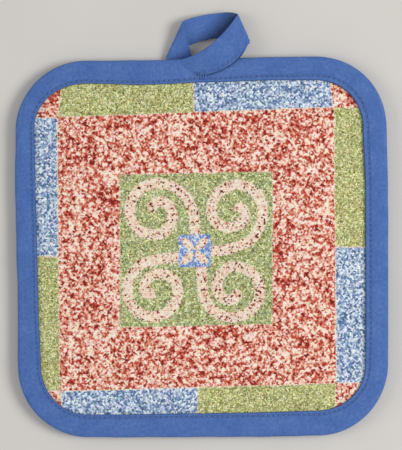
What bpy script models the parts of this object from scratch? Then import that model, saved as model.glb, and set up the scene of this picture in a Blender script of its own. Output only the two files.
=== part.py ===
"""A square cotton pot holder with a bound edge and a hanging loop.

It lies on its back on a table: +X is to the right, +Y up the printed face and +Z off the
table. The origin is under the middle of the pad, on the table. Lengths are in metres.

The pieces, from the table up:
    back_panel    plain cotton, flat on the table except where the binding lifts it
    wadding       cotton batting, thick in the middle and pinched thin at the rim
    front_panel   printed canvas, with the print's fields of colour cut into its mesh
    bias_binding  one folded cotton tape, sewn round the rim, whose tail is the loop
"""

import math

import bmesh
import bpy
from mathutils import Vector
from mathutils.geometry import delaunay_2d_cdt

# The pad
PAD_WIDTH = 0.2032
PAD_HEIGHT = 0.2066
CORNER_RADIUS = 0.0390
PAD_THICKNESS = 0.0079
PINCHED_THICKNESS = 0.0033
FRONT_CLOTH = 0.0005
BACK_CLOTH = 0.0004
# How far in from the binding the face takes to swell, and the back to come down to the table
FACE_SWELL = 0.055
BACK_SWELL = 0.030
# Corners under this radius aren't made inside the pad, as a share of the width there
SOFTEST_CORNER = 0.06
# It is sewn by hand, and each corner lies this far, across and up, from a true rectangle's.
CORNER_DRIFT = {
    (-1, -1): (0.0014, -0.0003),
    (1, -1): (0.0005, 0.0006),
    (1, 1): (0.0000, 0.0017),
    (-1, 1): (-0.0010, -0.0012),
}

# The binding
TAPE_WALL = 0.0009
TAPE_COVER = 0.0115
TAPE_LIP = 0.0004
STITCH_LINE = 0.0013
STITCH_SINK = 0.0003
RIM_LIFT = 0.0016
PANEL_INSET = 0.0024
SEAM_GAP = 0.0003

# The hanging loop, folded from the tape's tail. It stands up a little, and pairs of sizes are
# for the two edges of the tape: the one at the loop's top first, then the one beside its eye.
LOOP_THICKNESS = 0.0011
LOOP_SINK = 0.0004
LOOP_REACH = 0.0257
LOOP_TIP_HEIGHTS = (0.0076, 0.0066)
LOOP_BACK_HEIGHTS = (0.0062, 0.0018)
TIP_FOLD_RADII = (0.0007, 0.0028)
LEG_FOLD_RADII = (0.0007, 0.0007)
FOLD_SLIDE = 0.0007
# The strap grows out of the rim over this share of its length, from half its thickness
LOOP_FADE_IN = 0.35
LOOP_THIN_RUN = 0.12
LOOP_THIN_START = 0.5
# The folded-back layer has come down by this share of its way
LAID_BY = 0.7
# The leg is down under the rim this far below its edge, and up this far above it
LEG_DOWN = 0.0024
LEG_UP = (0.0170, 0.0006)
LEG_BITE = 0.0001

# The print: how far in from the pad's corners the red field's corners lie, across and up
RED_FIELD_MARGIN = {
    (-1, -1): (0.0230, 0.0245),
    (1, -1): (0.0284, 0.0284),
    (1, 1): (0.0298, 0.0264),
    (-1, 1): (0.0220, 0.0323),
}
# Where the two colours of each edge strip meet, from the pad's middle
TOP_CHANGE = -0.0043
BOTTOM_CHANGE = -0.0030
LEFT_CHANGE = -0.0045
RIGHT_CHANGE = 0.0004
# The middle: a green square, four curling bands and a small blue square with four petals
MOTIF_CENTRE = (-0.0037, -0.0018)
MOTIF_RISE = 0.022
GREEN_SQUARE = 0.0835
BLUE_SQUARE = 0.0176
PETAL_LENGTH = 0.0090
PETAL_WIDTH = 0.0042
PETAL_START = 0.0010
BAND_WIDTH = 0.0058
CURL_CENTRE = (-0.0220, 0.0226)
CURL_RADIUS = 0.0134
CURL_END_RADIUS = 0.0020
STEM_FADE = math.radians(45)
STEM_JOINS = math.radians(30)
# Each band's stem: how far beside the motif's middle it starts, and how wide it swings out
STEMS = (
    (0.0005, 0.0089),
    (0.0005, 0.0089),
    (-0.0034, 0.0055),
    (-0.0034, 0.0055),
)
CURL_TIGHTENS = math.radians(290)
CURL_ENDS = math.radians(480)

# How finely the curves are cut into flat faces
CORNER_STEPS = 10
SIDE_STEPS = 6
FACE_ROWS = (0, 0.05, 0.13, 0.25, 0.42, 0.65, 1)
BACK_ROWS = (0, 0.15, 0.35, 0.6, 0.85)
RIM_CORNER_STEPS = 16
RIM_SIDE_STEPS = 8
NOSE_STEPS = 7
PRINT_STEP = 0.012
CURL_STEP = math.radians(15)
STEM_STEPS = 6
PETAL_POINTS = 8
STRAP_STEPS = 14
FOLDED_STEPS = 12
LOOP_POINTS_ACROSS = 5
LOOP_FOLD_STEPS = 6
SHARP_ANGLE = math.radians(45)

# Sizes that follow from those above
RIM_THICKNESS = PINCHED_THICKNESS + 2 * SEAM_GAP + 2 * TAPE_WALL
RIM_TOP = RIM_LIFT + RIM_THICKNESS
PINCHED_UNDER = RIM_LIFT + TAPE_WALL + SEAM_GAP
PINCHED_TOP = PINCHED_UNDER + PINCHED_THICKNESS
HALF_X = PAD_WIDTH / 2
HALF_Y = PAD_HEIGHT / 2
FLAT_X = HALF_X - TAPE_COVER - BACK_SWELL
FLAT_Y = HALF_Y - TAPE_COVER - BACK_SWELL
UNDER_TAPE = (PANEL_INSET + TAPE_COVER) / 2


def linear(srgb):
    """One sRGB value from 0 to 255 as linear light."""
    value = srgb / 255
    return value / 12.92 if value <= 0.04045 else ((value + 0.055) / 1.055) ** 2.4


def cotton(name, colour, roughness):
    """A cotton cloth of one colour."""
    material = bpy.data.materials.new(name)
    material.use_nodes = True
    shader = material.node_tree.nodes["Principled BSDF"]
    shader.inputs["Base Color"].default_value = (*(linear(c) for c in colour), 1)
    shader.inputs["Roughness"].default_value = roughness
    shader.inputs["Metallic"].default_value = 0
    material.diffuse_color = shader.inputs["Base Color"].default_value
    return material


def drift(x, y):
    """How far the sewn pad lies from the true rectangle at one of its points."""
    total = Vector((0, 0))
    for (side, end), shift in CORNER_DRIFT.items():
        share = (0.5 + side * x / PAD_WIDTH) * (0.5 + end * y / PAD_HEIGHT)
        total += share * Vector(shift)
    return total


def sewn(x, y, z):
    """A point of the true rectangle where it lies on the sewn pad."""
    shift = drift(x, y)
    return Vector((x + shift.x, y + shift.y, z))


def squared(x, y):
    """The other way: a place on the sewn pad as a point of the true rectangle."""
    shift = drift(x, y)
    return (x - shift.x, y - shift.y)


def bent(start, middle, end, share):
    """A point on the curve that leaves start towards middle and reaches end from it."""
    return start.lerp(middle, share).lerp(middle.lerp(end, share), share)


def between(ends, share):
    """A size this share of the way from the first of two to the second."""
    return ends[0] + (ends[1] - ends[0]) * share


def ease(value):
    value = min(max(value, 0), 1)
    return value * value * (3 - 2 * value)


def outline(inset, corner_steps, side_steps):
    """The pad's outline this far in from its edge, anticlockwise from its right side."""
    half_x = HALF_X - inset
    half_y = HALF_Y - inset
    radius = max(CORNER_RADIUS - inset, 2 * half_x * SOFTEST_CORNER)
    corners = []
    for quarter, (side, end) in enumerate(((1, 1), (-1, 1), (-1, -1), (1, -1))):
        centre = (side * (half_x - radius), end * (half_y - radius))
        arc = []
        for step in range(corner_steps + 1):
            angle = math.pi / 2 * (quarter + step / corner_steps)
            arc.append(Vector(centre) + radius * Vector((math.cos(angle), math.sin(angle))))
        corners.append(arc)
    points = []
    for arc, following in zip(corners, corners[1:] + corners[:1]):
        points += arc
        points += [arc[-1].lerp(following[0], k / side_steps) for k in range(1, side_steps)]
    return points


def inset_at(x, y):
    """How far in from the pad's edge a point of the true rectangle lies."""
    over_x = abs(x) - (HALF_X - CORNER_RADIUS)
    over_y = abs(y) - (HALF_Y - CORNER_RADIUS)
    outside = math.hypot(max(over_x, 0), max(over_y, 0))
    return CORNER_RADIUS - outside - min(max(over_x, over_y), 0)


def face_height(x, y):
    """The top of the front cloth, which swells quickly inside the binding."""
    swell = min(max((inset_at(x, y) - TAPE_COVER) / FACE_SWELL, 0), 1)
    return PINCHED_TOP + (PAD_THICKNESS - PINCHED_TOP) * (1 - (1 - swell) ** 3)


def back_height(x, y):
    """The underside of the back cloth: flat on the table, and rising from there to the rim."""
    away = math.hypot(max(abs(x) - FLAT_X, 0), max(abs(y) - FLAT_Y, 0))
    return PINCHED_UNDER * ease(away / BACK_SWELL)


def insets(rows, run):
    """How far in from the pad's edge each row of points in a cloth's mesh lies."""
    return [PANEL_INSET] + [TAPE_COVER + share * run for share in rows]


def add_rings(mesh, height, ring_insets):
    """Rows of faces round the pad. It gives the points of the innermost row."""
    rows = []
    for inset in ring_insets:
        points = outline(inset, CORNER_STEPS, SIDE_STEPS)
        rows.append([mesh.verts.new(sewn(p.x, p.y, height(p.x, p.y))) for p in points])
    for outer, inner in zip(rows, rows[1:]):
        for k in range(len(outer)):
            mesh.faces.new((outer[k - 1], outer[k], inner[k], inner[k - 1]))
    return rows[-1]


def add_swollen_side(mesh, height):
    """The pad's upper side, or a surface that follows it."""
    mesh.faces.new(add_rings(mesh, height, insets(FACE_ROWS, FACE_SWELL)))


def add_resting_side(mesh, height):
    """The pad's underside, or a surface that follows it, with one flat square in the middle."""
    row = add_rings(mesh, height, insets(BACK_ROWS, BACK_SWELL))
    places = ((FLAT_X, FLAT_Y), (-FLAT_X, FLAT_Y), (-FLAT_X, -FLAT_Y), (FLAT_X, -FLAT_Y))
    corners = [mesh.verts.new(sewn(x, y, height(x, y))) for x, y in places]
    quarter = CORNER_STEPS + SIDE_STEPS

    def nearest(k):
        return corners[(k + (quarter - CORNER_STEPS) // 2) // quarter % 4]

    for k in range(len(row)):
        here = nearest(k)
        before = nearest(k - 1)
        ends = (here,) if here == before else (here, before)
        mesh.faces.new((row[k - 1], row[k], *ends))
    mesh.faces.new(corners)


def close_edge(mesh):
    """Joins the open edges of an upper and a lower surface by a wall."""
    open_edges = [edge for edge in mesh.edges if edge.is_boundary]
    bmesh.ops.bridge_loops(mesh, edges=open_edges)
    bmesh.ops.recalc_face_normals(mesh, faces=mesh.faces)


def make_object(name, mesh, materials):
    """A named object from a finished mesh, with round parts shaded smooth."""
    data = bpy.data.meshes.new(name)
    mesh.to_mesh(data)
    mesh.free()
    for material in materials:
        data.materials.append(material)
    data.shade_smooth()
    data.set_sharp_from_angle(angle=SHARP_ANGLE)
    thing = bpy.data.objects.new(name, data)
    bpy.context.scene.collection.objects.link(thing)
    return thing


def make_back_panel():
    """The plain cloth that lies on the table."""
    def top(x, y):
        return back_height(x, y) + BACK_CLOTH

    mesh = bmesh.new()
    add_resting_side(mesh, back_height)
    add_resting_side(mesh, top)
    close_edge(mesh)
    return make_object("back_panel", mesh, [cotton("plain_cotton", (196, 184, 160), 0.9)])


def make_wadding():
    """The batting, which fills the space between the two cloths."""
    def bottom(x, y):
        return back_height(x, y) + BACK_CLOTH + SEAM_GAP

    def top(x, y):
        return face_height(x, y) - FRONT_CLOTH - SEAM_GAP

    mesh = bmesh.new()
    add_resting_side(mesh, bottom)
    add_swollen_side(mesh, top)
    close_edge(mesh)
    return make_object("wadding", mesh, [cotton("cotton_batting", (236, 232, 222), 1.0)])


def motif_place(across, up):
    """A point of the middle motif on the true rectangle: the print was cut a little askew."""
    x = MOTIF_CENTRE[0] + across
    y = MOTIF_CENTRE[1] + up + MOTIF_RISE * across
    return squared(x, y)


def quarter_turn(point, turns):
    """A point of the motif turned clockwise by right angles about the motif's centre."""
    across, up = point
    for _ in range(turns):
        across, up = up, -across
    return (across, up)


def square_corners(size):
    half = size / 2
    return [motif_place(a, b) for a, b in ((-half, -half), (half, -half), (half, half), (-half, half))]


def red_field_corners():
    corners = []
    for (side, end), (across, up) in RED_FIELD_MARGIN.items():
        corners.append(squared(side * (HALF_X - across), end * (HALF_Y - up)))
    return corners


def curl_middle(angle, flare):
    """The middle of a band at an angle along its curl, seen from the motif's middle."""
    radius = CURL_RADIUS + flare * math.exp(-angle / STEM_FADE)
    tightened = max(angle - CURL_TIGHTENS, 0) / (CURL_ENDS - CURL_TIGHTENS)
    radius += (CURL_END_RADIUS - CURL_RADIUS) * tightened
    return Vector(CURL_CENTRE) + radius * Vector((math.cos(angle), math.sin(angle)))


def curling_band(turns):
    """The outline of one band: a stem out of the small square, curling up anticlockwise."""
    beside, flare = STEMS[turns]
    count = round((CURL_ENDS - STEM_JOINS) / CURL_STEP)
    step = (CURL_ENDS - STEM_JOINS) / count
    curl = [curl_middle(STEM_JOINS + step * k, flare) for k in range(count + 1)]
    # The stem rises straight and bends into the curl's own direction where they join.
    ahead = curl[0] - curl_middle(STEM_JOINS - step / 4, flare)
    corner = Vector((beside, curl[0].y + ahead.y / ahead.x * (beside - curl[0].x)))
    foot = Vector((beside, BLUE_SQUARE / 4))
    stem = [bent(foot, corner, curl[0], k / STEM_STEPS) for k in range(STEM_STEPS)]
    middle = stem + curl
    left = []
    right = []
    for k, point in enumerate(middle):
        ahead = middle[min(k + 1, len(middle) - 1)] - middle[max(k - 1, 0)]
        side = Vector((-ahead.y, ahead.x)).normalized() * BAND_WIDTH / 2
        left.append(point + side)
        right.append(point - side)
    onward = (middle[-1] - middle[-2]).normalized() * BAND_WIDTH / 2
    beside_end = Vector((-onward.y, onward.x))
    tip = []
    for k in (1, 2, 3):
        angle = math.pi * k / 4
        tip.append(middle[-1] + onward * math.sin(angle) - beside_end * math.cos(angle))
    return [motif_place(*quarter_turn(point, turns)) for point in right + tip + left[::-1]]


def petal(turns):
    """One petal, an oval along the small square's diagonal."""
    points = []
    for k in range(PETAL_POINTS):
        angle = math.tau * k / PETAL_POINTS
        along = PETAL_LENGTH / 2 * (1 + math.cos(angle)) + PETAL_START
        beside = PETAL_WIDTH / 2 * math.sin(angle)
        points.append(((along - beside) * math.sqrt(0.5), (along + beside) * math.sqrt(0.5)))
    return [motif_place(*quarter_turn(point, turns)) for point in points]


def inside(loop, x, y):
    """Whether a point lies inside a closed loop of points."""
    found = False
    for (x1, y1), (x2, y2) in zip(loop, loop[1:] + loop[:1]):
        if (y1 > y) != (y2 > y) and x < x1 + (y - y1) / (y2 - y1) * (x2 - x1):
            found = not found
    return found


def print_slot(x, y, fields):
    """Which of the print's cloth colours shows at a point of the true rectangle."""
    if inside(fields["blue_square"], x, y):
        return "cream" if any(inside(loop, x, y) for loop in fields["petals"]) else "blue"
    if any(inside(loop, x, y) for loop in fields["bands"]):
        return "cream"
    if inside(fields["green_square"], x, y):
        return "green"
    bottom_left, bottom_right, top_right, top_left = (Vector(p) for p in fields["red_field"])

    def right_of(low, high):
        return x > low.x + (high.x - low.x) * (y - low.y) / (high.y - low.y)

    def above(near, far):
        return y > near.y + (far.y - near.y) * (x - near.x) / (far.x - near.x)

    column = -1 if not right_of(bottom_left, top_left) else int(right_of(bottom_right, top_right))
    row = -1 if not above(bottom_left, bottom_right) else int(above(top_left, top_right))
    if abs(column) == abs(row):
        return "red"
    if row:
        split = TOP_CHANGE if row > 0 else BOTTOM_CHANGE
        return "green" if (x < split) == (row > 0) else "blue"
    split = LEFT_CHANGE if column < 0 else RIGHT_CHANGE
    return "blue" if (y > split) == (column < 0) else "green"


def run_between(start, end):
    """Points along a line of the print, near enough together to follow the swelling face."""
    count = max(1, round((Vector(end) - Vector(start)).length / PRINT_STEP))
    return [tuple(Vector(start).lerp(Vector(end), k / count)) for k in range(count + 1)]


def meeting_lines(red_field):
    """The lines where the edge strips' colours meet, and the red field's sides drawn on."""
    reach_x = HALF_X - UNDER_TAPE
    reach_y = HALF_Y - UNDER_TAPE
    bottom_left, bottom_right, top_right, top_left = (Vector(p) for p in red_field)

    def on_line(start, end, share_axis, value):
        share = (value - start[share_axis]) / (end[share_axis] - start[share_axis])
        return start.lerp(end, share)

    top = on_line(top_left, top_right, 0, TOP_CHANGE)
    bottom = on_line(bottom_left, bottom_right, 0, BOTTOM_CHANGE)
    left = on_line(bottom_left, top_left, 1, LEFT_CHANGE)
    right = on_line(bottom_right, top_right, 1, RIGHT_CHANGE)
    lines = [
        (top, (TOP_CHANGE, reach_y)),
        (bottom, (BOTTOM_CHANGE, -reach_y)),
        (left, (-reach_x, LEFT_CHANGE)),
        (right, (reach_x, RIGHT_CHANGE)),
    ]
    for corner, side, end in (
        (bottom_left, bottom_right, top_left),
        (bottom_right, bottom_left, top_right),
        (top_right, top_left, bottom_right),
        (top_left, top_right, bottom_left),
    ):
        for away in (side, end):
            outward = (corner - away).normalized()
            reach = PRINT_STEP / 4
            while inset_at(*(corner + outward * reach)) > UNDER_TAPE:
                reach += PRINT_STEP / 4
            lines.append((corner, tuple(corner + outward * reach)))
    return lines


def add_printed_face(mesh, slots):
    """The front cloth's top, with an edge along every border of the print's fields."""
    fields = {
        "red_field": red_field_corners(),
        "green_square": square_corners(GREEN_SQUARE),
        "blue_square": square_corners(BLUE_SQUARE),
        "bands": [curling_band(turns) for turns in range(4)],
        "petals": [petal(turns) for turns in range(4)],
    }
    points = []
    edges = []

    def add_line(line, closed):
        first = len(points)
        points.extend(Vector(p) for p in line)
        edges.extend((k, k + 1) for k in range(first, len(points) - 1))
        if closed:
            edges.append((len(points) - 1, first))

    ring_insets = insets(FACE_ROWS, FACE_SWELL)
    rings = [outline(inset, CORNER_STEPS, SIDE_STEPS) for inset in ring_insets]
    add_line(rings[0], True)
    points.extend(p for ring in rings[1:-1] for p in ring)
    for name in ("red_field", "green_square", "blue_square"):
        corners = fields[name]
        for start, end in zip(corners, corners[1:] + corners[:1]):
            add_line(run_between(start, end), False)
    for loop in fields["bands"] + fields["petals"]:
        add_line(loop, True)
    for start, end in meeting_lines(fields["red_field"]):
        add_line(run_between(start, end), False)
    places, _, triangles, _, _, _ = delaunay_2d_cdt(points, edges, [], 1, 1e-6, False)
    verts = [mesh.verts.new(sewn(p.x, p.y, face_height(p.x, p.y))) for p in places]
    for triangle in triangles:
        middle = sum((places[k] for k in triangle), Vector((0, 0))) / 3
        face = mesh.faces.new([verts[k] for k in triangle])
        face.material_index = slots.index(print_slot(middle.x, middle.y, fields))


def make_front_panel():
    """The printed canvas: its fields of colour are faces of their own."""
    colours = {
        "red": (207, 155, 136),
        "green": (174, 177, 128),
        "blue": (156, 173, 196),
        "cream": (232, 212, 185),
    }

    def underside(x, y):
        return face_height(x, y) - FRONT_CLOTH

    mesh = bmesh.new()
    add_swollen_side(mesh, underside)
    add_printed_face(mesh, list(colours))
    close_edge(mesh)
    materials = [cotton(f"printed_canvas_{name}", colour, 0.85) for name, colour in colours.items()]
    return make_object("front_panel", mesh, materials)


def rim_profile():
    """The binding's section: how far in from the pad's edge, and how high, round the U."""
    outer = RIM_THICKNESS / 2
    inner = outer - TAPE_WALL
    middle = RIM_LIFT + outer
    stitch = TAPE_COVER - STITCH_LINE
    side = [
        (TAPE_COVER, outer - TAPE_WALL),
        (TAPE_COVER, outer - TAPE_LIP),
        (TAPE_COVER - TAPE_LIP, outer - TAPE_LIP / 3),
        (stitch, outer - STITCH_SINK),
        (stitch - 2 * STITCH_LINE, outer),
    ]
    nose = []
    hollow = []
    for k in range(NOSE_STEPS + 1):
        angle = math.pi * k / NOSE_STEPS
        nose.append((outer - outer * math.sin(angle), outer * math.cos(angle)))
        hollow.append((outer - inner * math.sin(angle), inner * math.cos(angle)))
    under = [(reach, -height) for reach, height in side[::-1]]
    section = side + nose + under + hollow[::-1]
    return [(reach, middle + height) for reach, height in section]


def make_rim():
    """The tape folded over the pad's edge, all the way round."""
    mesh = bmesh.new()
    rows = []
    for inset, height in rim_profile():
        points = outline(inset, RIM_CORNER_STEPS, RIM_SIDE_STEPS)
        rows.append([mesh.verts.new(sewn(p.x, p.y, height)) for p in points])
    for row, following in zip(rows, rows[1:] + rows[:1]):
        for k in range(len(row)):
            mesh.faces.new((row[k - 1], row[k], following[k], following[k - 1]))
    bmesh.ops.recalc_face_normals(mesh, faces=mesh.faces)
    tape = cotton("blue_cotton_tape", (79, 111, 173), 0.8)
    return make_object("bias_binding", mesh, [tape])


def loop_rows():
    """Rows of points across the tape's tail, along its whole way through the loop.

    The tail leaves the rim at the top, crosses over it and bends up to the right. It turns
    under to the left, where it slopes down into the loop, folds over again at the left and
    comes down to be sewn under the rim.
    """
    edge = HALF_Y
    tip = edge + LOOP_REACH

    def at(across, up):
        return Vector((across, edge + up))

    over_rim = RIM_TOP - LOOP_SINK + LOOP_THICKNESS / 2
    in_rim = RIM_TOP - TAPE_WALL / 2
    under_rim = RIM_LIFT + LEG_BITE - LOOP_THICKNESS / 2
    # Each stretch: the curve of one edge of the tape, and the curve of the other
    strap = ((at(-0.0150, -0.0010), at(0.0036, 0.0003), at(0.0191, 0.0232)),
             (at(-0.0150, -0.0098), at(0.0148, -0.0135), at(0.0245, 0.0081)))
    back = ((at(0.0191, 0.0240), at(0.0072, 0.0272), at(-0.0086, 0.0211)),
            (at(0.0263, 0.0100), at(0.0042, 0.0162), at(-0.0181, 0.0012)))
    leg = ((at(-0.0098, 0.0187), at(-0.0062, 0.0058), at(-0.0026, -0.0108)),
           (at(-0.0193, -0.0012), at(-0.0175, -0.0062), at(-0.0150, -0.0118)))

    def strap_height(place, along, share):
        on_rim = in_rim + (over_rim - in_rim) * ease(along / LOOP_FADE_IN)
        drop = ease((place.y - edge) / (tip - edge))
        return on_rim + (between(LOOP_TIP_HEIGHTS, share) - over_rim) * drop

    def back_height_at(place, along, share):
        start = strap_height(place, 1, share) - 2 * between(TIP_FOLD_RADII, share)
        return start + (between(LOOP_BACK_HEIGHTS, share) - start) * ease(along / LAID_BY)

    def leg_height(place, along, share):
        up_line = edge + between(LEG_UP, share)
        down_line = edge - LEG_DOWN
        high = between(LOOP_BACK_HEIGHTS, share) + 2 * between(LEG_FOLD_RADII, share)
        return under_rim + (high - under_rim) * ease((place.y - down_line) / (up_line - down_line))

    rows = []

    def add_stretch(curves, height, count):
        """Rows along a stretch, which starts where the last fold left off."""
        left_off = rows[-1] if rows else None
        for step in range(1 if rows else 0, count + 1):
            along = step / count
            row = []
            for k in range(LOOP_POINTS_ACROSS):
                share = k / (LOOP_POINTS_ACROSS - 1)
                place = bent(*curves[0], along).lerp(bent(*curves[1], along), share)
                point = Vector((place.x, place.y, height(place, along, share)))
                if left_off:
                    start = curves[0][0].lerp(curves[1][0], share)
                    began = Vector((start.x, start.y, height(start, 0, share)))
                    point += (left_off[k] - began) * (1 - ease(2 * along))
                row.append(point)
            rows.append(row)

    def add_fold(radii, rising):
        """A half turn about the last row, along which the tape slides as it is cut askew."""
        last = rows[-1]
        across = (last[-1] - last[0]).normalized()
        heading = last[len(last) // 2] - rows[-2][len(last) // 2]
        heading.z = 0
        outward = (heading - heading.dot(across) * across)
        slide = heading.dot(across) / outward.length
        outward = Vector((outward.x, outward.y, 0)).normalized()
        for step in range(1, LOOP_FOLD_STEPS + 1):
            angle = math.pi * step / LOOP_FOLD_STEPS
            row = []
            for k, point in enumerate(last):
                radius = between(radii, k / (len(last) - 1))
                shift = outward * radius * math.sin(angle) + across * slide * FOLD_SLIDE * angle
                shift.z += rising * radius * (1 - math.cos(angle))
                row.append(point + shift)
            rows.append(row)

    add_stretch(strap, strap_height, STRAP_STEPS)
    add_fold(TIP_FOLD_RADII, -1)
    add_stretch(back, back_height_at, FOLDED_STEPS)
    add_fold(LEG_FOLD_RADII, 1)
    add_stretch(leg, leg_height, FOLDED_STEPS)
    return rows


def make_loop():
    """The tape's tail as a strip with its own thickness, to be joined to the rim."""
    rows = loop_rows()
    last = len(rows) - 1
    mesh = bmesh.new()
    sections = []
    for i, row in enumerate(rows):
        grown = ease(i / last / LOOP_THIN_RUN)
        half = LOOP_THICKNESS / 2 * (LOOP_THIN_START + (1 - LOOP_THIN_START) * grown)
        upper = []
        lower = []
        for j, point in enumerate(row):
            ahead = rows[min(i + 1, last)][j] - rows[max(i - 1, 0)][j]
            beside = row[min(j + 1, len(row) - 1)] - row[max(j - 1, 0)]
            normal = beside.cross(ahead).normalized() * half
            upper.append(point + normal)
            lower.append(point - normal)
        bulge = (row[-1] - row[0]).normalized() * half / 2
        ring = upper + [row[-1] + bulge] + lower[::-1] + [row[0] - bulge]
        sections.append([mesh.verts.new(p) for p in ring])
    for section, following in zip(sections, sections[1:]):
        for k in range(len(section)):
            mesh.faces.new((section[k - 1], section[k], following[k], following[k - 1]))
    mesh.faces.new(sections[0])
    mesh.faces.new(sections[-1])
    bmesh.ops.recalc_face_normals(mesh, faces=mesh.faces)
    return make_object("loop_guide", mesh, [])


def make_bias_binding():
    """The rim and the loop are one tape, so they are joined into one solid."""
    rim = make_rim()
    loop = make_loop()
    loop.hide_render = True
    loop.display_type = "WIRE"
    join = rim.modifiers.new("tail", "BOOLEAN")
    join.operation = "UNION"
    join.solver = "EXACT"
    join.object = loop
    return rim


for thing in list(bpy.data.objects):
    bpy.data.objects.remove(thing, do_unlink=True)
make_back_panel()
make_wadding()
make_front_panel()
make_bias_binding()
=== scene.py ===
"""The looks of a square cotton pot holder: cloths, batting, folded tape, thread and print.

It is put together in the order in which the real one is made. Lengths are in metres, unless a
name or a comment says mm. +X is to the right, +Y up the printed face and +Z off the table.
"""

import math

import bpy
import numpy as np
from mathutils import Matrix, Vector, noise


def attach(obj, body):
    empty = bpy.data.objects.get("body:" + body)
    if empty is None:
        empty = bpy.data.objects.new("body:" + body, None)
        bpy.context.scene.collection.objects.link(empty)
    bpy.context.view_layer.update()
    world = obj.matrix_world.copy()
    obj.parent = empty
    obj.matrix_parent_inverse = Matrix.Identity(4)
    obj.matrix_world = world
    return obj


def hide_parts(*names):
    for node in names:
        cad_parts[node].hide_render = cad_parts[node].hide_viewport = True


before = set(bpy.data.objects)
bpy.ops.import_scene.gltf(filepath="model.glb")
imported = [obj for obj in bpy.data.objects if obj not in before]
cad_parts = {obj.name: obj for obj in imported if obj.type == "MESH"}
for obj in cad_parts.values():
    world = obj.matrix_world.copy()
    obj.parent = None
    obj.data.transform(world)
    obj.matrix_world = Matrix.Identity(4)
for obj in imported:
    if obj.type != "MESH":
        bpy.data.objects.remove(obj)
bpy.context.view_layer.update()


# The back: plain undyed cotton, woven tight, cut to the pad's outline.
# It lies flat on the table over a square in the middle and rises to the tape all round,
# where the tape is sewn through it. The photo doesn't show it.

PAD_WIDTH = 0.2032
PAD_HEIGHT = 0.2066
HALF_X = PAD_WIDTH / 2
HALF_Y = PAD_HEIGHT / 2
CORNER_RADIUS = 0.0390
CORE_X = HALF_X - CORNER_RADIUS
CORE_Y = HALF_Y - CORNER_RADIUS
PAD_THICKNESS = 0.0079
CLOTH_INSET = 0.0024
TAPE_COVER = 0.0115
BACK_SWELL = 0.030
FLAT_X = HALF_X - TAPE_COVER - BACK_SWELL
FLAT_Y = HALF_Y - TAPE_COVER - BACK_SWELL
PINCHED_UNDER = 0.0028
PINCHED_TOP = 0.0061
BACK_CLOTH = 0.0004
BACK_SPACING = 0.0022
# Where it is free of the table and of the tape, the cloth is slack: the height, size and seed of
# its waves, and how far it stands off on the whole
BACK_WAVES = (0.00022, 0.011, 3.0)
BACK_STANDS_OFF = 0.000132
# It is sewn by hand, and each corner lies this far, across and up, from a true rectangle's.
CORNER_DRIFT = {
    (-1, -1): (0.0014, -0.0003),
    (1, -1): (0.0005, 0.0006),
    (1, 1): (0.0000, 0.0017),
    (-1, 1): (-0.0010, -0.0012),
}


def linear(code):
    """An sRGB hex code as a linear colour with alpha."""
    values = [int(code[k:k + 2], 16) / 255 for k in (1, 3, 5)]
    light = [v / 12.92 if v <= 0.04045 else ((v + 0.055) / 1.055) ** 2.4 for v in values]
    return (*light, 1)


def add(tree, kind, values=None, links=None, stops=(), out=0, **settings):
    """Adds one shader node with its settings, fixed values, links and colour stops to a node
    tree, and gives one of its outputs."""
    new = tree.nodes.new("ShaderNode" + kind)
    for name, value in settings.items():
        setattr(new, name, value)
    for socket, value in (values or {}).items():
        new.inputs[socket].default_value = value
    for socket, output in (links or {}).items():
        tree.links.new(output, new.inputs[socket])
    if stops:
        elements = new.color_ramp.elements
        while len(elements) < len(stops):
            elements.new(0.5)
        for element, (place, code) in zip(elements, stops):
            element.position = place
            element.color = linear(code)
    return new.outputs[out]


def start_material(name, roughness, sheen, sheen_roughness=0.5):
    """A new material and its node tree. Cloth scatters light at its fuzz, which is the sheen."""
    material = bpy.data.materials.new(name)
    material.use_nodes = True
    for socket, value in (("Roughness", roughness), ("Specular IOR Level", 0.25),
                          ("Sheen Weight", sheen), ("Sheen Roughness", sheen_roughness)):
        material.node_tree.nodes["Principled BSDF"].inputs[socket].default_value = value
    return material, material.node_tree


def finish_material(material, colour, relief=None, strength=0.0, height=0.0):
    """Gives a material its colour and the relief of its surface, with its height in metres."""
    tree = material.node_tree
    shader = tree.nodes["Principled BSDF"]
    tree.links.new(colour, shader.inputs["Base Color"])
    if relief:
        bump = add(tree, "Bump", {"Strength": strength, "Distance": height}, {"Height": relief})
        tree.links.new(bump, shader.inputs["Normal"])
    return material


def in_millimetres(tree):
    """The object's own coordinates, in mm."""
    place = add(tree, "TexCoord", out="Object")
    return add(tree, "VectorMath", {"Scale": 1000}, {0: place}, operation="SCALE")


def ribbed(tree, place, axis, pitch_mm):
    """Waves from -1 to 1 along one axis, with this distance between them."""
    axes = add(tree, "SeparateXYZ", links={0: place}).node
    turned = add(tree, "Math", {1: math.tau / pitch_mm}, {0: axes.outputs[axis]},
                 operation="MULTIPLY")
    return add(tree, "Math", links={0: turned}, operation="SINE")


def woven(tree, place, pitch_mm):
    """Crossing threads, from 0 to 1, with this distance between them."""
    waves = [add(tree, "Math", {1: 0.5, 2: 0.5}, {0: ribbed(tree, place, axis, pitch_mm)},
                 operation="MULTIPLY_ADD") for axis in "XY"]
    return add(tree, "Math", links={0: waves[0], 1: waves[1]}, operation="MULTIPLY")


def blended(tree, *parts):
    """The sum of values, each taken about its middle and times its share, about 0.5."""
    total = None
    for value, share in parts:
        below = 0.5 - 0.5 * share if total is None else -0.5 * share
        scaled = add(tree, "Math", {1: share, 2: below}, {0: value}, operation="MULTIPLY_ADD")
        total = scaled if total is None else add(tree, "Math", links={0: total, 1: scaled},
                                                 operation="ADD")
    return total


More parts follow.
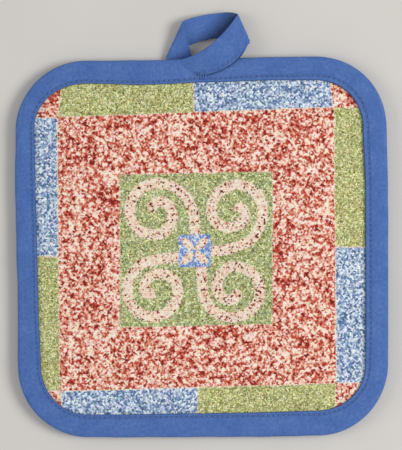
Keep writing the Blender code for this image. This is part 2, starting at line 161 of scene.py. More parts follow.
def drifted(x, y):
    """Points of the true rectangle where they lie on the sewn pad."""
    moved_x = np.array(x, float)
    moved_y = np.array(y, float)
    for (side, end), (across, up) in CORNER_DRIFT.items():
        share = (0.5 + side * x / PAD_WIDTH) * (0.5 + end * y / PAD_HEIGHT)
        moved_x = moved_x + share * across
        moved_y = moved_y + share * up
    return moved_x, moved_y


def pad_grid(spacing):
    """A square grid of points, squeezed at its corners into the cloth's rounded outline."""
    half_x = HALF_X - CLOTH_INSET
    half_y = HALF_Y - CLOTH_INSET
    across = np.linspace(-1, 1, round(2 * half_x / spacing) + 1)
    up = np.linspace(-1, 1, round(2 * half_y / spacing) + 1)
    u, v = np.meshgrid(across, up)
    ring = np.maximum(np.maximum(abs(u), abs(v)), 1e-6)
    edge_x = u / ring * half_x
    edge_y = v / ring * half_y
    past_x = np.maximum(abs(edge_x) - CORE_X, 0)
    past_y = np.maximum(abs(edge_y) - CORE_Y, 0)
    pull = (CORNER_RADIUS - CLOTH_INSET) / np.maximum(np.hypot(past_x, past_y), 1e-9)
    at_corner = (past_x > 0) & (past_y > 0)
    pull = np.where(at_corner, pull, 1) - 1
    x = u * half_x + np.sign(u) * past_x * pull * ring ** 5
    y = v * half_y + np.sign(v) * past_y * pull * ring ** 5
    return x, y


def inset_at(x, y):
    """How far in from the pad's edge points of the true rectangle lie."""
    over_x = abs(x) - CORE_X
    over_y = abs(y) - CORE_Y
    outside = np.hypot(np.maximum(over_x, 0), np.maximum(over_y, 0))
    return CORNER_RADIUS - outside - np.minimum(np.maximum(over_x, over_y), 0)


def ease(value):
    """A share that leaves 0 and reaches 1 softly."""
    value = np.clip(value, 0, 1)
    return value * value * (3 - 2 * value)


def roughly(x, y, height, size, seed):
    """Smooth lumps, up and down, of about this height and size."""
    flat = [noise.noise(Vector((a / size, b / size, seed)))
            for a, b in zip(np.ravel(x), np.ravel(y))]
    return height * np.reshape(flat, np.shape(x))


def between(ends, share):
    """A size or point this share of the way from the first of two to the second."""
    return ends[0] + (ends[1] - ends[0]) * share


def mesh_object(name, points, faces, material):
    """A smooth mesh of one material at the origin."""
    data = bpy.data.meshes.new(name)
    data.from_pydata(np.reshape(points, (-1, 3)).tolist(), [], faces)
    data.shade_smooth()
    if material:
        data.materials.append(material)
    thing = bpy.data.objects.new(name, data)
    bpy.context.scene.collection.objects.link(thing)
    return thing


def quads_between(index):
    """The four-cornered faces between rows of numbered points."""
    corners = (index[:-1, :-1], index[:-1, 1:], index[1:, 1:], index[1:, :-1])
    return np.stack(corners, axis=-1).reshape(-1, 4)


def sheet_object(name, rows, material, around=False, uv=None, painted_shade=None):
    """A cloth from rows of points. Its last row may meet its first, all round, and its uv then
    has one row more."""
    rows = np.asarray(rows, float)
    index = np.arange(rows.size // 3).reshape(rows.shape[:2])
    faces = quads_between(np.vstack([index, index[:1]]) if around else index)
    thing = mesh_object(name, rows, faces.tolist(), material)
    if uv is not None:
        corners = quads_between(np.arange(uv.size // 2).reshape(uv.shape[:2]))
        layer = thing.data.uv_layers.new(name="cloth")
        layer.data.foreach_set("uv", uv.reshape(-1, 2)[corners.ravel()].ravel())
    # The cloth's painted shade, one value a point, which its material turns into darker colour
    if painted_shade is not None:
        attribute = thing.data.attributes.new("painted_shade", "FLOAT", "POINT")
        attribute.data.foreach_set("value", np.ravel(painted_shade))
    return thing


def thicken(thing, thickness):
    """Gives a cloth its thickness, under the side that its points lie on."""
    bpy.ops.object.select_all(action="DESELECT")
    bpy.context.view_layer.objects.active = thing
    thing.select_set(True)
    modifier = thing.modifiers.new("thickness", "SOLIDIFY")
    modifier.thickness = thickness
    modifier.offset = -1
    bpy.ops.object.modifier_apply(modifier=modifier.name)
    thing.select_set(False)


def plain_cotton():
    """Undyed sheeting, woven tight: even cream-grey with a fine square grain and a matt face."""
    material, tree = start_material("undyed_woven_cotton_sheeting", 0.92, 0.12)
    place = in_millimetres(tree)
    # The real threads are about 0.4 mm apart and are drawn at twice that, so that they show.
    grain = woven(tree, place, 0.8)
    slub = add(tree, "TexNoise", {"Scale": 1 / 3.0, "Detail": 3.0}, {"Vector": place})
    level = blended(tree, (slub, 0.5), (grain, 0.5))
    colour = add(tree, "ValToRGB", links={"Fac": level}, stops=(
        (0.10, "#AEA287"), (0.40, "#C3B798"), (0.65, "#CFC4A8"), (0.90, "#DDD4BD")))
    return finish_material(material, colour, level, 0.5, 0.00012)


def back_height(x, y):
    """The underside of the back cloth: flat on the table, and rising from there to the rim."""
    away = np.hypot(np.maximum(abs(x) - FLAT_X, 0), np.maximum(abs(y) - FLAT_Y, 0))
    rise = ease(away / BACK_SWELL)
    slack = 4 * rise * (1 - rise) * (inset_at(x, y) > TAPE_COVER)
    return PINCHED_UNDER * rise + slack * (roughly(x, y, *BACK_WAVES) + BACK_STANDS_OFF)


grid_x, grid_y = pad_grid(BACK_SPACING)
sewn_x, sewn_y = drifted(grid_x, grid_y)
back_points = np.dstack([sewn_x, sewn_y, back_height(grid_x, grid_y)])
back_cloth = sheet_object("back_cloth", back_points[:, ::-1], plain_cotton())
thicken(back_cloth, BACK_CLOTH)
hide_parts("back_panel")
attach(back_cloth, "root")


# The batting: needled cotton fibre in one thick soft layer, cut a little smaller than the cloths.
# It is crowned by its own loft and pinched thin where the tape is sewn through it.

BATTING_INSET_GAP = 0.0003
FRONT_CLOTH = 0.0005
FACE_SWELL = 0.055


def face_height(inset):
    """The top of the printed cloth this far in, which swells quickly inside the tape."""
    swell = np.clip((inset - TAPE_COVER) / FACE_SWELL, 0, 1)
    return PINCHED_TOP + (PAD_THICKNESS - PINCHED_TOP) * (1 - (1 - swell) ** 3)


def cotton_batting():
    """Loose white cotton fibre: no gloss at all, cloudy, and with a soft tangled surface."""
    material, tree = start_material("needled_cotton_batting", 1.0, 0.3)
    fibres = add(tree, "TexNoise", {"Scale": 1 / 1.2, "Detail": 6.0, "Distortion": 2.5,
                                    "Roughness": 0.7}, {"Vector": in_millimetres(tree)})
    colour = add(tree, "ValToRGB", links={"Fac": fibres}, stops=(
        (0.3, "#DAD5C8"), (0.6, "#ECE8DE"), (0.8, "#F4F1EA")))
    return finish_material(material, colour, fibres, 0.8, 0.0004)


def closed_between(name, lower, upper, material):
    """A closed form between two grids of points, with a wall round their edges."""
    count = lower.size // 3
    index = np.arange(count).reshape(lower.shape[:2])
    ring = [*index[0], *index[1:, -1], *index[-1, -2::-1], *index[-2:0:-1, 0]]
    faces = quads_between(index)[:, ::-1].tolist() + (quads_between(index) + count).tolist()
    for here, following in zip(ring, ring[1:] + ring[:1]):
        faces.append([here, following, following + count, here + count])
    return mesh_object(name, np.concatenate([lower, upper]), faces, material)


batting_low = back_points + (0, 0, BACK_CLOTH + BATTING_INSET_GAP)
batting_top = back_points.copy()
batting_top[..., 2] = face_height(inset_at(grid_x, grid_y)) - FRONT_CLOTH - 2 * BATTING_INSET_GAP
batting = closed_between("batting", batting_low, batting_top, cotton_batting())
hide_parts("wadding")
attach(batting, "root")


# The face: a ribbed cotton canvas, printed with speckled fields in four colours, with an
# undyed cream ground between them. It is stretched over the batting, so it is crowned and a
# little lumpy, and it puckers where each stitch of the tape pulls it down.

FACE_SPACING = 0.0011
# The face settles in a cloth simulation on a coarser grid. The stitches hold it this far outside
# the tape's folded edge. A light canvas, a little slack, is pushed up by the batting. Then come
# the frames that it has and the most that a point may move.
SETTLING_SPACING = 0.0033
STITCH_FROM_FOLD = 0.0018
SETTLING = dict(quality=6, mass=0.05, bending_stiffness=0.05, tension_stiffness=40,
                compression_stiffness=40, vertex_group_mass="sewn", use_pressure=True,
                uniform_pressure_force=0.1, shrink_min=-0.001)
SETTLING_FRAMES = 20
MOST_MOVED = 0.0007
STITCH_LENGTH = 0.0028
# Beside the tape each stitch puckers the face and drags at it, and further in it is lumpy: the
# heights, sizes and seeds of its unevenness, and how far in each fades or starts
STITCH_PUCKER = 0.00008
PUCKER_FADES = 0.0018
STITCH_DRAG = (0.00030, 0.0042, 8.0)
DRAG_STRETCH = 0.25
DRAG_FADES = 0.0065
FACE_LUMPS = (0.00022, 0.021, 5.0)
FACE_CREASES = (0.00009, 0.0075, 6.0)
LUMPS_START = 0.010
RED_FIELD_MARGIN = {
    (-1, -1): (0.0242, 0.0249),
    (1, -1): (0.0281, 0.0291),
    (1, 1): (0.0292, 0.0268),
    (-1, 1): (0.0230, 0.0322),
}
# The strips' ends lean inwards by this much of their way out, as the tape gathers the corners.
STRIP_LEANS = {(-1, -1): 0.10, (1, -1): 0.02, (1, 1): 0.14, (-1, 1): 0.10}
# Where the two colours of each edge strip meet, from the pad's middle
TOP_CHANGE = -0.0045
BOTTOM_CHANGE = -0.0018
LEFT_CHANGE = -0.0050
RIGHT_CHANGE = 0.0004
STRIP_REACH = 0.050
# The middle: a green square, four curling bands and a small blue square with four petals
MOTIF_CENTRE = (-0.0037, -0.0018)
MOTIF_RISE = 0.022
GREEN_SQUARE = 0.0832
GREEN_SQUARE_MOVED = (0.0008, 0.0007)
BLUE_SQUARE = 0.0176
PETAL_LENGTH = 0.0090
PETAL_WIDTH = 0.0042
PETAL_START = 0.0010
BAND_WIDTH = 0.0058
CURL_CENTRE = (-0.0220, 0.0226)
CURL_RADIUS = 0.0134
CURL_END_RADIUS = 0.0020
STEM_FADE = math.radians(45)
STEM_JOINS = math.radians(30)
STEM_STEPS = 12
# Each band's stem: how far beside the motif's middle it starts, and how wide it swings out
STEMS = ((0.0005, 0.0089), (0.0005, 0.0089), (-0.0034, 0.0055), (-0.0034, 0.0055))
CURL_TIGHTENS = math.radians(290)
CURL_ENDS = math.radians(480)
CURL_STEP = math.radians(6)
# The canvas, in mm: its ribs, how soft the print's edges are, and how tall a flake of ink is
# for its width
RIB_MM = 1.18
PRINT_EDGE_MM = 0.25
FLAKE_TALL = 1.15
# Each field's flakes: their size in mm, how far their pattern is moved, how much they gather in
# clusters, and the inks by their share of the flakes
PRINT_INKS = {
    "ground": (0.9, 3, 0.2, ((0.0, "#FBF0DC"), (0.6, "#F0E0C6"), (1.0, "#D6C4A8"))),
    "red": (0.88, 31, 1.9, (
        (0.06, "#FCEBDA"), (0.25, "#F6D6C4"), (0.41, "#E8AE98"), (0.55, "#D88570"),
        (0.70, "#CA5843"), (0.86, "#B03A2B"), (1.00, "#7A1C16"))),
    "green": (0.56, 11, 0.3, (
        (0.00, "#FFFFDC"), (0.18, "#E6E4A6"), (0.36, "#C0C27A"), (0.50, "#AEB890"),
        (0.64, "#AEAC68"), (0.82, "#888A4C"), (1.00, "#4E563C"))),
    "square": (0.60, 17, 0.4, (
        (0.00, "#FFFFDE"), (0.16, "#E0E0A8"), (0.34, "#BABE7E"), (0.50, "#9AAE90"),
        (0.66, "#A2A25E"), (0.82, "#7C824C"), (1.00, "#444E3E"))),
    "blue": (0.85, 43, 0.45, (
        (0.00, "#F8FCFF"), (0.20, "#DEE9F4"), (0.40, "#B2C4DA"), (0.60, "#869EBE"),
        (0.80, "#5C78A2"), (1.00, "#36507C"))),
    "band": (0.80, 57, 0.7, (
        (0.00, "#F8EEDC"), (0.48, "#EDDCC4"), (0.70, "#E8C8B2"), (0.79, "#DCA48E"),
        (0.85, "#A8462F"), (0.93, "#5A1812"))),
    "small square": (0.80, 71, 0.3, (
        (0.00, "#F8F4E8"), (0.28, "#C8D5E8"), (0.52, "#8CA8DA"), (0.76, "#6286CA"),
        (1.00, "#4365A6"))),
    "petal": (0.75, 91, 0.4, (
        (0.00, "#FBF2E0"), (0.50, "#F0DEC4"), (0.66, "#E8C8B2"), (0.80, "#CE8A72"),
        (0.94, "#8A3A2C"))),
}


def signed_distance(places, outline):
    """How far inside a closed outline each place lies, in mm. Outside it is negative."""
    corners = np.array([tuple(p) for p in outline], float)
    nearest = np.full(len(places), np.inf)
    inside = np.zeros(len(places), bool)
    for start, end in zip(corners, np.roll(corners, -1, axis=0)):
        along = end - start
        offset = places - start
        share = np.clip(offset @ along / (along @ along), 0, 1)
        nearest = np.minimum(nearest, ((offset - share[:, None] * along) ** 2).sum(1))
        crosses = (start[1] > places[:, 1]) != (end[1] > places[:, 1])
        rise = along[1] if along[1] else 1
        at_height = start[0] + (places[:, 1] - start[1]) / rise * along[0]
        inside ^= crosses & (places[:, 0] < at_height)
    return np.where(inside, 1, -1) * np.sqrt(nearest) * 1000


def motif_place(across, up):
    """A point of the middle motif on the pad: the print was cut a little askew."""
    return (MOTIF_CENTRE[0] + across, MOTIF_CENTRE[1] + up + MOTIF_RISE * across)


def quarter_turn(point, turns):
    """A point of the motif turned clockwise by right angles about the motif's centre."""
    across, up = point
    for _ in range(turns):
        across, up = up, -across
    return (across, up)


def square_corners(size, across=0.0, up=0.0):
    """A square of the motif, moved this far from the motif's centre."""
    half = size / 2
    corners = ((-half, -half), (half, -half), (half, half), (-half, half))
    return [motif_place(across + a, up + b) for a, b in corners]


def curl_middle(angle, flare):
    """The middle of a band at an angle along its curl, seen from the motif's middle."""
    radius = CURL_RADIUS + flare * math.exp(-angle / STEM_FADE)
    tightened = max(angle - CURL_TIGHTENS, 0) / (CURL_ENDS - CURL_TIGHTENS)
    radius += (CURL_END_RADIUS - CURL_RADIUS) * tightened
    return Vector(CURL_CENTRE) + radius * Vector((math.cos(angle), math.sin(angle)))


def bent(start, middle, end, share):
    """A point on the curve that leaves start towards middle and reaches end from it."""
    return between((between((start, middle), share), between((middle, end), share)), share)


def curling_band(turns):
    """The outline of one band: a stem out of the small square, curling up anticlockwise."""
    beside, flare = STEMS[turns]
    count = round((CURL_ENDS - STEM_JOINS) / CURL_STEP)
    step = (CURL_ENDS - STEM_JOINS) / count
    curl = [curl_middle(STEM_JOINS + step * k, flare) for k in range(count + 1)]
    ahead = curl[0] - curl_middle(STEM_JOINS - step / 4, flare)
    corner = Vector((beside, curl[0].y + ahead.y / ahead.x * (beside - curl[0].x)))
    foot = Vector((beside, BLUE_SQUARE / 4))
    middle = [bent(foot, corner, curl[0], k / STEM_STEPS) for k in range(STEM_STEPS)] + curl
    ahead = [b - a for a, b in zip(middle[:1] + middle[:-1], middle[1:] + middle[-1:])]
    aside = [Vector((-way.y, way.x)).normalized() * BAND_WIDTH / 2 for way in ahead]
    right = [point - side for point, side in zip(middle, aside)]
    left = [point + side for point, side in zip(middle, aside)]
    onward = Vector((aside[-1].y, -aside[-1].x))
    tip = [middle[-1] + onward * math.sin(angle) - aside[-1] * math.cos(angle)
           for angle in (math.pi * k / 8 for k in range(1, 8))]
    return [motif_place(*quarter_turn(point, turns)) for point in right + tip + left[::-1]]


def petal(turns):
    """One petal, an oval along the small square's diagonal."""
    points = []
    for k in range(16):
        angle = math.tau * k / 16
        along = PETAL_LENGTH / 2 * (1 + math.cos(angle)) + PETAL_START
        beside = PETAL_WIDTH / 2 * math.sin(angle)
        points.append(((along - beside) * math.sqrt(0.5), (along + beside) * math.sqrt(0.5)))
    return [motif_place(*quarter_turn(point, turns)) for point in points]


def edge_strips():
    """The outlines of the green and of the blue halves of the four strips round the red field."""
    field = {(side, end): Vector((side * (HALF_X - margin_x), end * (HALF_Y - margin_y)))
             for (side, end), (margin_x, margin_y) in RED_FIELD_MARGIN.items()}
    strips = {"green": [], "blue": []}
    for first, last, change, colours in (
        ((-1, 1), (1, 1), TOP_CHANGE, ("green", "blue")),
        ((-1, -1), (1, -1), BOTTOM_CHANGE, ("blue", "green")),
        ((-1, -1), (-1, 1), LEFT_CHANGE, ("green", "blue")),
        ((1, -1), (1, 1), RIGHT_CHANGE, ("blue", "green")),
    ):
        start, end = field[first], field[last]
        upright = first[0] == last[0]
        outward = Vector((first[0], 0)) if upright else Vector((0, first[1]))
        inward = Vector((0 if upright else 1, 0))
        split = start.lerp(end, (change - start[upright]) / (end[upright] - start[upright]))
        start_out = start + (outward + inward * STRIP_LEANS[first]) * STRIP_REACH
        end_out = end + (outward - inward * STRIP_LEANS[last]) * STRIP_REACH
        split_out = split + outward * STRIP_REACH
        strips[colours[0]].append((start, split, split_out, start_out))
        strips[colours[1]].append((split, end, end_out, split_out))
    return strips


def deepest(places, outlines):
    """How far inside any of some outlines each place lies, in mm."""
    return np.max([signed_distance(places, outline) for outline in outlines], axis=0)


def laid_on(tree, under, over, distance, wobble, inset_mm=0.0):
    """One printed colour over another inside a field, whose edge wobbles with the flakes of ink."""
    edge = add(tree, "Math", links={0: distance, 1: wobble}, operation="ADD")
    inside = add(tree, "MapRange", {"From Min": inset_mm - PRINT_EDGE_MM / 2,
                                    "From Max": inset_mm + PRINT_EDGE_MM / 2}, {"Value": edge})
    return add(tree, "Mix", links={"Factor": inside, 6: under, 7: over}, out=2, data_type="RGBA")


def printed_canvas():
    """Ribbed cotton canvas with a matt pigment print. Each field is angular flakes of a few inks
    on the cream cloth, one to two millimetres across, that gather in loose clusters."""
    material, tree = start_material("pigment_printed_ribbed_canvas", 0.9, 0.08)
    place = in_millimetres(tree)

    def clouds(size_mm, detail, at=place, out=0):
        return add(tree, "TexNoise", {"Scale": 1 / size_mm, "Detail": detail}, {"Vector": at},
                   out=out)

    def flakes(values):
        spread = add(tree, "VectorMath", values, {0: ragged}, operation="MULTIPLY_ADD")
        return add(tree, "TexVoronoi", {"Scale": 1.0}, {"Vector": spread}, out="Color",
                   voronoi_dimensions="2D")

    ragged = add(tree, "VectorMath", {1: (0.9, 0.9, 0)},
                 {0: clouds(0.7, 1.0, out="Color"), 2: place}, operation="MULTIPLY_ADD")
    clusters = clouds(2.5, 1.5)
    patches = clouds(14, 1.0)
    inks = {}
    for name, (flake_mm, moved, gather, stops) in PRINT_INKS.items():
        inks_here = flakes({1: (1 / flake_mm, 1 / flake_mm / FLAKE_TALL, 0), 2: (moved, -moved, 0)})
        chance = add(tree, "SeparateColor", links={0: inks_here})
        level = blended(tree, (chance, 0.85), (clusters, gather), (patches, 0.2 * gather))
        inks[name] = add(tree, "ValToRGB", links={"Fac": level}, stops=stops)
    wobble = add(tree, "Math", {1: 2.4, 2: -1.2}, {0: clouds(0.9, 1.5, ragged)},
                 operation="MULTIPLY_ADD")
    fields = {name: add(tree, "Attribute", out="Fac", attribute_name=name) for name in (
        "green_strips", "blue_strips", "green_square", "bands", "blue_square", "petals")}
    strips = add(tree, "Math", links={0: fields["green_strips"], 1: fields["blue_strips"]},
                 operation="MAXIMUM")
    fields["outside"] = add(tree, "Math", {1: -1.0}, {0: strips}, operation="MULTIPLY")
    # From the cream cloth up: the ink, its field, and how far inside the field's edge it starts
    colour = inks["ground"]
    for ink, field, inset_mm in (
        ("red", "outside", -0.1), ("green", "green_strips", 0.2), ("blue", "blue_strips", 0.4),
        ("ground", "green_square", -0.12), ("square", "green_square", 0.0), ("band", "bands", 0.0),
        ("small square", "blue_square", 0.0), ("petal", "petals", 0.0),
    ):
        colour = laid_on(tree, colour, inks[ink], fields[field], wobble, inset_mm)

    # No two flakes of an ink are quite the same colour, and nor are the cloth's patches.
    for tint, least, spread in (
        (flakes({1: (1.1, 1.0, 0)}), (0.96, 0.92, 0.90), (0.08, 0.16, 0.20)),
        (clouds(4.5, 1.0, out="Color"), (0.90, 0.94, 0.88), (0.20, 0.12, 0.24)),
    ):
        shifted = add(tree, "VectorMath", {1: spread, 2: least}, {0: tint},
                      operation="MULTIPLY_ADD")
        colour = add(tree, "VectorMath", links={0: colour, 1: shifted}, operation="MULTIPLY")

    # The grooves between the ribs are painted a little darker and the ribs' tops a little lighter:
    # painted shade and painted highlight.
    rib = ribbed(tree, place, "Y", RIB_MM)
    shade = add(tree, "MapRange", {"From Min": -1.0, "To Min": 0.93, "To Max": 1.03},
                {"Value": rib})
    rib_shaded = add(tree, "VectorMath", links={0: colour, "Scale": shade}, operation="SCALE")
    relief = blended(tree, (rib, 0.35), (clouds(0.7, 2.0), 0.8))
    return finish_material(material, rib_shaded, relief, 0.45, 0.00015)


def pulled_down(x, y):
    """How the stitches and the slack cloth shape the face beside the tape, in metres."""
    inside = np.maximum(inset_at(x, y) - TAPE_COVER, 0)
    way = np.arctan2(y, x) * HALF_X
    pucker = STITCH_PUCKER * np.cos(math.tau * way / STITCH_LENGTH) * np.exp(-inside / PUCKER_FADES)
    drag = roughly(way, inside * DRAG_STRETCH, *STITCH_DRAG) * np.exp(-inside / DRAG_FADES)
    lumps = roughly(x, y, *FACE_LUMPS) + roughly(x, y, *FACE_CREASES)
    return pucker + drag + lumps * ease(inside / LUMPS_START)


def points_of(mesh):
    """A mesh's points as rows of numbers."""
    points = np.zeros(len(mesh.vertices) * 3)
    mesh.vertices.foreach_get("co", points)
    return points.reshape(-1, 3)


def settled_face(spacing):
    """How far each point of a coarse grid of the face moves, across, up and in height, when the
    cloth settles over the batting's push, sewn down along the stitches."""
    x, y = pad_grid(spacing)
    inset = inset_at(x, y)
    start = np.dstack([*drifted(x, y), face_height(inset) + pulled_down(x, y)])
    cloth = sheet_object("settling_face", start, None)
    sewn = cloth.vertex_groups.new(name="sewn")
    held = np.flatnonzero(inset.ravel() < TAPE_COVER - STITCH_FROM_FOLD)
    sewn.add(held.tolist(), 1.0, "REPLACE")
    bpy.context.view_layer.objects.active = cloth
    settling = cloth.modifiers.new("settling", "CLOTH")
    for name, value in SETTLING.items():
        setattr(settling.settings, name, value)
    settling.settings.effector_weights.gravity = 0
    settling.point_cache.frame_start = 1
    settling.point_cache.frame_end = SETTLING_FRAMES
    for step in range(1, SETTLING_FRAMES + 1):
        bpy.context.scene.frame_set(step)
    shaped = cloth.evaluated_get(bpy.context.evaluated_depsgraph_get()).to_mesh()
    moves = points_of(shaped).reshape(start.shape) - start
    bpy.data.objects.remove(cloth)
    bpy.context.scene.frame_set(1)
    return moves


def finer(values, shape):
    """The values of a coarse grid, drawn out evenly over a finer one."""
    for count in shape:
        place = np.linspace(0, len(values) - 1, count)
        low = np.minimum(place.astype(int), len(values) - 2)
        part = (place - low)[:, None, None]
        values = between((values[low], values[low + 1]), part).swapaxes(0, 1)
    return values


grid_x, grid_y = pad_grid(FACE_SPACING)
sewn_x, sewn_y = drifted(grid_x, grid_y)
face_z = face_height(inset_at(grid_x, grid_y)) + pulled_down(grid_x, grid_y)
moved = finer(settled_face(SETTLING_SPACING), face_z.shape)
moved = MOST_MOVED * np.tanh(moved / MOST_MOVED)
face_places = np.dstack([sewn_x, sewn_y, face_z]) + moved
front_cloth = sheet_object("front_cloth", face_places, printed_canvas())
thicken(front_cloth, FRONT_CLOTH)
strips = edge_strips()
for field_name, outlines in (
    ("green_strips", strips["green"]),
    ("blue_strips", strips["blue"]),
    ("green_square", [square_corners(GREEN_SQUARE, *GREEN_SQUARE_MOVED)]),
    ("blue_square", [square_corners(BLUE_SQUARE)]),
    ("bands", [curling_band(turns) for turns in range(4)]),
    ("petals", [petal(turns) for turns in range(4)]),
):
    attribute = front_cloth.data.attributes.new(field_name, "FLOAT", "POINT")
    attribute.data.foreach_set("value", deepest(points_of(front_cloth.data)[:, :2], outlines))
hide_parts("front_panel")
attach(front_cloth, "root")


# The binding: one bias-cut cotton tape, dyed blue, folded over the pad's edge all round.
# Both of its long edges are turned under, and one row of stitches through all the layers
# holds it, which draws a groove a little outside the folded edge.

TAPE_CLOTH = 0.00028
TAIL_CLOTH = 0.000252
RIM_LIFT = 0.0016
RIM_THICKNESS = 0.0057
RIM_MIDDLE = RIM_LIFT + RIM_THICKNESS / 2
HEM = 0.0065
LIP_RADIUS = 0.00048
LIP_GAP = 0.0005
# Painted shade along the tape's folded edge, where it lies over the face
LIP_SHADE = 1.0
# The tape rises from its lip over this run, and puffs up between the stitches and its fold
LIP_RAMP = 0.0060
PUFF = 0.00022
PUFF_RUN = 0.0070
GROOVE_DEPTH = 0.00055
GROOVE_WIDTH = 0.00042
# Painted shade in the stitches' groove
GROOVE_SHADE = 0.75
STATIONS_PER_STITCH = 4
# The heights and sizes of the tape's wrinkles, which start a little inside its folded edge
RIM_WRINKLES = (0.00013, 0.0034)
WRINKLES_FROM = 0.0006
WRINKLES_OVER = 0.0020
NOSE_WRINKLES = (0.00018, 0.012, 17.0)
# The rows of points between the folded edge and the stitches, and then across and past them
SHARES_TO_STITCH = (0.2, 0.4, 0.6)
PAST_STITCH = (-0.0006, -0.0003, 0.0, 0.0003, 0.0006, 0.0011, 0.0018, 0.0029, 0.0043, 0.0055)
# All in mm, at even steps round the pad, anticlockwise from the upper end of the right side:
# how far in the folded edge reaches, how far the stitches lie outside it, and how far in the
# outer edge wanders
COVERS = (13.5, 13.0, 12.7, 13.3, 14.2, 13.1, 10.6, 11.0, 11.5, 11.9,
          12.9, 12.1, 12.1, 12.5, 12.9, 13.7, 12.5, 12.3, 12.3, 12.3)
STITCH_GAPS = (2.7, 2.7, 2.4, 2.1, 1.6, 1.6, 2.0, 2.2, 2.2, 2.2,
               1.9, 1.7, 1.7, 1.8, 1.9, 2.0, 2.3, 2.7, 2.7, 2.7)
OUTER_WANDER = (0.3, -0.1, -0.3, 0.3, 0.6, 0.4, 0.4, -0.3, 0.0, 0.4,
                0.1, -0.5, -0.7, -0.7, -0.7, -0.2, -0.2, -0.4, -0.4, -0.4)


def running(steps):
    """How far along each point is, from the steps between the points."""
    return np.concatenate([[0], np.cumsum(steps)])


def rim_stations():
    """Places round the pad's rounded core, each with its outward direction and its way along."""
    arc = (CORNER_RADIUS - TAPE_COVER) * math.pi / 2
    turns = running([arc, 2 * CORE_X, arc, 2 * CORE_Y] * 2)
    count = round(turns[-1] / STITCH_LENGTH) * STATIONS_PER_STITCH
    way = np.arange(count) * turns[-1] / count
    x = CORE_X * np.interp(way, turns, (1, 1, -1, -1, -1, -1, 1, 1, 1))
    y = CORE_Y * np.interp(way, turns, (1, 1, 1, 1, -1, -1, -1, -1, 1))
    angle = math.pi / 2 * np.interp(way, turns, (0, 1, 1, 2, 2, 3, 3, 4, 4))
    return np.stack([x, y, np.cos(angle), np.sin(angle), way], axis=1), turns[-1]


def around_pad(steps_mm):
    """A length at each station round the pad, eased between even steps that are given in mm."""
    steps = np.array(steps_mm) / 1000
    place = stations[:, 4] / rim_length * len(steps)
    low = place.astype(int) % len(steps)
    return steps[low] + (np.roll(steps, -1)[low] - steps[low]) * ease(place % 1)


def rim_top(step, phase):
    """The height of the tape's upper side over its middle height, this far from the folded edge."""
    height = lip_bed + 2 * LIP_RADIUS
    height = height + (RIM_THICKNESS / 2 - height) * ease(step / LIP_RAMP)
    height = height + PUFF * np.sin(np.clip((step - gaps) / PUFF_RUN, 0, 1) * math.pi)
    return height - GROOVE_DEPTH * grooved(step, phase)


def grooved(step, phase):
    """How strongly the thread pinches the tape, this far from the folded edge: most where the
    needle went in, at each whole phase."""
    return np.exp(-((step - gaps) / GROOVE_WIDTH) ** 2) * (0.8 + 0.2 * np.cos(math.tau * phase))


stations, rim_length = rim_stations()
covers = around_pad(COVERS)
gaps = around_pad(STITCH_GAPS)
wander = around_pad(OUTER_WANDER)
phases = np.arange(len(stations)) / STATIONS_PER_STITCH
lip_bed = face_height(covers) - RIM_MIDDLE + LIP_GAP


def rim_place(inset, height):
    """Where one row of points round the rim lies, at this inset and height for each station."""
    reach = CORNER_RADIUS - inset
    x, y = drifted(stations[:, 0] + stations[:, 2] * reach, stations[:, 1] + stations[:, 3] * reach)
    return np.stack([x, y, np.broadcast_to(height, x.shape)], axis=-1)


def rim_half(side, wrinkle_seed):
    """Rows from the turned-under hem to the nose, on the upper (1) or lower (-1) side, and the
    painted shade of each point, in the stitches' groove and along the folded edge."""
    rows = []
    for share in (1.0, 0.66, 0.33, 0.0):
        inset = covers - LIP_RADIUS - share * (HEM - LIP_RADIUS)
        bed = PINCHED_TOP - RIM_MIDDLE + (lip_bed + RIM_MIDDLE - PINCHED_TOP) * (1 - share)
        rows.append((rim_place(inset, RIM_MIDDLE + side * bed), 0 * phases))
    # The rows round the folded edge get the painted shade there.
    for angle in (45, 90, 135):
        turn = math.radians(angle)
        inset = covers - LIP_RADIUS + LIP_RADIUS * math.sin(turn)
        height = lip_bed + LIP_RADIUS * (1 - math.cos(turn))
        rows.append((rim_place(inset, RIM_MIDDLE + side * height), LIP_SHADE + 0 * phases))
    steps = [gaps * share for share in SHARES_TO_STITCH] + [gaps + past for past in PAST_STITCH]
    for step in steps:
        wrinkle = roughly(stations[:, 4], step * 0.6, *RIM_WRINKLES, wrinkle_seed)
        height = rim_top(step, phases) + wrinkle * ease((step - WRINKLES_FROM) / WRINKLES_OVER)
        # Painted shade in the groove, strongest at the needle holes
        painted_groove_shade = GROOVE_SHADE * grooved(step, phases)
        rows.append((rim_place(covers - step, RIM_MIDDLE + side * height), painted_groove_shade))
    return rows


